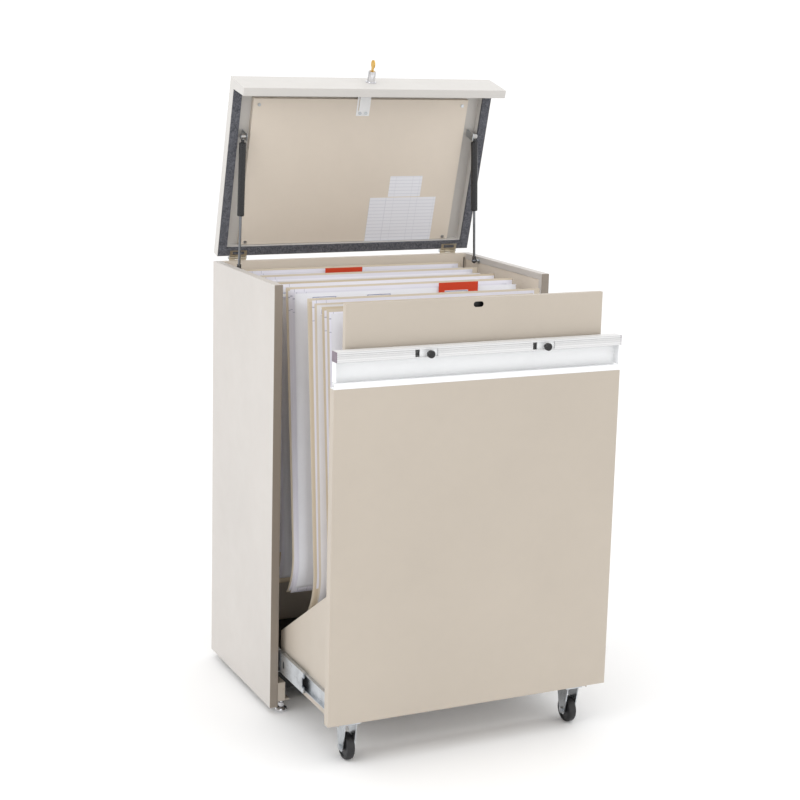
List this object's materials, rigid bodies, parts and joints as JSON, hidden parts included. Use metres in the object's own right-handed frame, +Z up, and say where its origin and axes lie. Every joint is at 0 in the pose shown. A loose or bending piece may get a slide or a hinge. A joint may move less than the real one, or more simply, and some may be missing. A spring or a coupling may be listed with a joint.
{
  "type": "filing cabinet",
  "caption": "Vertical plan filing cabinet with lift-up lid on gas struts, pull-out front on telescopic slides and casters, and spreading folders.",
  "frame": {"origin": "on the floor, under the middle of the cabinet's box as it stands open", "axes": "X across the width to the right seen from the front, Y towards the back, Z up"},
  "size_m": [0.706, 0.7938, 1.5119],
  "materials": {
    "side_paint": "satin",
    "case_paint": "satin",
    "lid_paint": "satin",
    "black_paint": "satin",
    "hinge_brass": "satin",
    "zinc_steel": "satin",
    "foam_gasket": "matt",
    "chrome_lock": "polished",
    "brass": "polished",
    "card_paper": "matt",
    "strut_black": "gloss",
    "strut_rod_steel": "polished",
    "white_trim": "satin",
    "end_cap": "matt",
    "tyre_rubber": "satin",
    "wheel_plastic": "satin",
    "black_knob": "gloss",
    "foot_chrome": "polished",
    "folder_card": "matt"
  },
  "bodies": {
    "case": {"side_shells": "side_paint", "side_liners": "case_paint", "back_shell": "case_paint", "back_liner": "case_paint", "back_top_rail": "case_paint", "case_floor": "black_paint", "base_rails": "black_paint", "foot_brackets": "case_paint", "case_hinge_leaves": "hinge_brass", "hinge_pins": "zinc_steel", "strut_case_studs": "zinc_steel", "slide_outer_members": "zinc_steel", "case_screws": "zinc_steel"},
    "lid": {"lid_shell": "lid_paint", "lid_liner": "case_paint", "lid_gasket": "foam_gasket", "lid_hinge_leaves": "hinge_brass", "lid_screws": "zinc_steel", "strut_lid_brackets": "zinc_steel", "lock_bracket": "zinc_steel", "lock_housing": "chrome_lock", "info_cards": "card_paper"},
    "lock_barrel": {"lock_barrel": "chrome_lock"},
    "key": {"lock_plug": "brass", "key": "brass"},
    "strut_cylinder_left": {"strut_cylinder_left": "strut_black"},
    "strut_cylinder_right": {"strut_cylinder_right": "strut_black"},
    "strut_rod_left": {"strut_rod_left": "strut_rod_steel"},
    "strut_rod_right": {"strut_rod_right": "strut_rod_steel"},
    "front": {"front_panel_shell": "case_paint", "front_panel_liner": "case_paint", "finger_lip": "white_trim", "finger_channel": "white_trim", "pull_rail": "white_trim", "rail_end_caps": "end_cap", "upper_panel": "case_paint", "front_stiles": "case_paint", "gussets": "case_paint", "front_base_rail": "case_paint", "caster_forks": "zinc_steel", "caster_axles": "zinc_steel", "slide_inner_members": "zinc_steel"},
    "slide_middle_left": {"slide_middle_left": "zinc_steel"},
    "slide_middle_right": {"slide_middle_right": "zinc_steel"},
    "caster_wheel_left": {"caster_tyre_left": "tyre_rubber", "caster_hub_left": "wheel_plastic"},
    "caster_wheel_right": {"caster_tyre_right": "tyre_rubber", "caster_hub_right": "wheel_plastic"},
    "latch_left": {"latch_slider_left": "black_knob"},
    "latch_right": {"latch_slider_right": "black_knob"},
    "foot_front_left": {"foot_front_left": "foot_chrome"},
    "foot_front_right": {"foot_front_right": "foot_chrome"},
    "foot_rear_left": {"foot_rear_left": "foot_chrome"},
    "foot_rear_right": {"foot_rear_right": "foot_chrome"},
    "folder_1": {"folder_1": "folder_card"},
    "folder_2": {"folder_2": "folder_card"},
    "folder_3": {"folder_3": "folder_card"},
    "folder_4": {"folder_4": "folder_card"},
    "folder_5": {"folder_5": "folder_card"},
    "folder_6": {"folder_6": "folder_card"}
  },
  "joints": [
    {"name": "lid_hinge", "type": "hinge", "parent": "case", "child": "lid", "pos_m": [0, 0.3791, 1.023], "axis": [-1, 0, 0], "range_deg": [-75, 0], "stiffness_Nm_per_rad": 4, "springref_deg": 114.59},
    {"name": "lock_push", "type": "slide", "parent": "lid", "child": "lock_barrel", "axis": [0, 0.2588, -0.9659], "range_m": [0, 0.012], "stiffness_N_per_m": 200, "springref_m": -0.006},
    {"name": "key_turn", "type": "hinge", "parent": "lock_barrel", "child": "key", "pos_m": [0, 0.24424, 1.45792], "axis": [0, -0.2588, 0.9659], "range_deg": [0, 90]},
    {"name": "strut_pivot_left", "type": "hinge", "parent": "lid", "child": "strut_cylinder_left", "pos_m": [-0.311, 0.28795, 1.32572], "axis": [-1, 0, 0], "range_deg": [-14.33, 0]},
    {"name": "strut_stroke_left", "type": "slide", "parent": "strut_cylinder_left", "child": "strut_rod_left", "axis": [0.0282, 0.0152, 0.9995], "range_m": [0, 0.09917]},
    {"name": "strut_pivot_right", "type": "hinge", "parent": "lid", "child": "strut_cylinder_right", "pos_m": [0.311, 0.28795, 1.32572], "axis": [-1, 0, 0], "range_deg": [-14.33, 0]},
    {"name": "strut_stroke_right", "type": "slide", "parent": "strut_cylinder_right", "child": "strut_rod_right", "axis": [-0.0282, 0.0152, 0.9995], "range_m": [0, 0.09917]},
    {"name": "front_slide", "type": "slide", "parent": "case", "child": "front", "axis": [0, -1, 0], "range_m": [-0.313, 0]},
    {"name": "slide_middle_left", "type": "slide", "parent": "case", "child": "slide_middle_left", "axis": [0, -1, 0], "range_m": [-0.157, 0]},
    {"name": "slide_middle_right", "type": "slide", "parent": "case", "child": "slide_middle_right", "axis": [0, -1, 0], "range_m": [-0.157, 0]},
    {"name": "caster_roll_left", "type": "hinge", "parent": "front", "child": "caster_wheel_left", "pos_m": [-0.282, -0.3269, 0.03], "axis": [1, 0, 0], "continuous": true},
    {"name": "latch_slide_left", "type": "slide", "parent": "front", "child": "latch_left", "axis": [1, 0, 0], "range_m": [-0.012, 0]},
    {"name": "caster_roll_right", "type": "hinge", "parent": "front", "child": "caster_wheel_right", "pos_m": [0.282, -0.3269, 0.03], "axis": [1, 0, 0], "continuous": true},
    {"name": "latch_slide_right", "type": "slide", "parent": "front", "child": "latch_right", "axis": [1, 0, 0], "range_m": [-0.012, 0]},
    {"name": "foot_turn_front_left", "type": "hinge", "parent": "case", "child": "foot_front_left", "pos_m": [-0.317, -0.0219, 0.02], "axis": [0, 0, 1], "continuous": true},
    {"name": "foot_turn_front_right", "type": "hinge", "parent": "case", "child": "foot_front_right", "pos_m": [0.317, -0.0219, 0.02], "axis": [0, 0, 1], "continuous": true},
    {"name": "foot_turn_rear_left", "type": "hinge", "parent": "case", "child": "foot_rear_left", "pos_m": [-0.317, 0.3371, 0.02], "axis": [0, 0, 1], "continuous": true},
    {"name": "foot_turn_rear_right", "type": "hinge", "parent": "case", "child": "foot_rear_right", "pos_m": [0.317, 0.3371, 0.02], "axis": [0, 0, 1], "continuous": true},
    {"name": "folder_spread_1", "type": "slide", "parent": "case", "child": "folder_1", "axis": [0, -1, 0], "range_m": [-0.0246, 0]},
    {"name": "folder_spread_2", "type": "slide", "parent": "case", "child": "folder_2", "axis": [0, -1, 0], "range_m": [-0.06686, 0]},
    {"name": "folder_spread_3", "type": "slide", "parent": "case", "child": "folder_3", "axis": [0, -1, 0], "range_m": [-0.10848, 0]},
    {"name": "folder_spread_4", "type": "slide", "parent": "case", "child": "folder_4", "axis": [0, -1, 0], "range_m": [-0.15011, 0]},
    {"name": "folder_spread_5", "type": "slide", "parent": "case", "child": "folder_5", "axis": [0, -1, 0], "range_m": [-0.20958, 0]},
    {"name": "folder_spread_6", "type": "slide", "parent": "case", "child": "folder_6", "axis": [0, -1, 0], "range_m": [-0.24714, 0]}
  ],
  "couplings": [
    {"joint": "strut_pivot_left", "follows": "lid_hinge", "ratio": 0.18974},
    {"joint": "strut_pivot_right", "follows": "lid_hinge", "ratio": 0.18974},
    {"joint": "strut_stroke_left", "follows": "lid_hinge", "m_per_rad": -0.075377},
    {"joint": "strut_stroke_right", "follows": "lid_hinge", "m_per_rad": -0.075377},
    {"joint": "slide_middle_left", "follows": "front_slide", "ratio": 0.5},
    {"joint": "slide_middle_right", "follows": "front_slide", "ratio": 0.5},
    {"joint": "folder_spread_1", "follows": "front_slide", "ratio": 0.077},
    {"joint": "folder_spread_2", "follows": "front_slide", "ratio": 0.212},
    {"joint": "folder_spread_3", "follows": "front_slide", "ratio": 0.345},
    {"joint": "folder_spread_4", "follows": "front_slide", "ratio": 0.478},
    {"joint": "folder_spread_5", "follows": "front_slide", "ratio": 0.668},
    {"joint": "folder_spread_6", "follows": "front_slide", "ratio": 0.788}
  ]
}
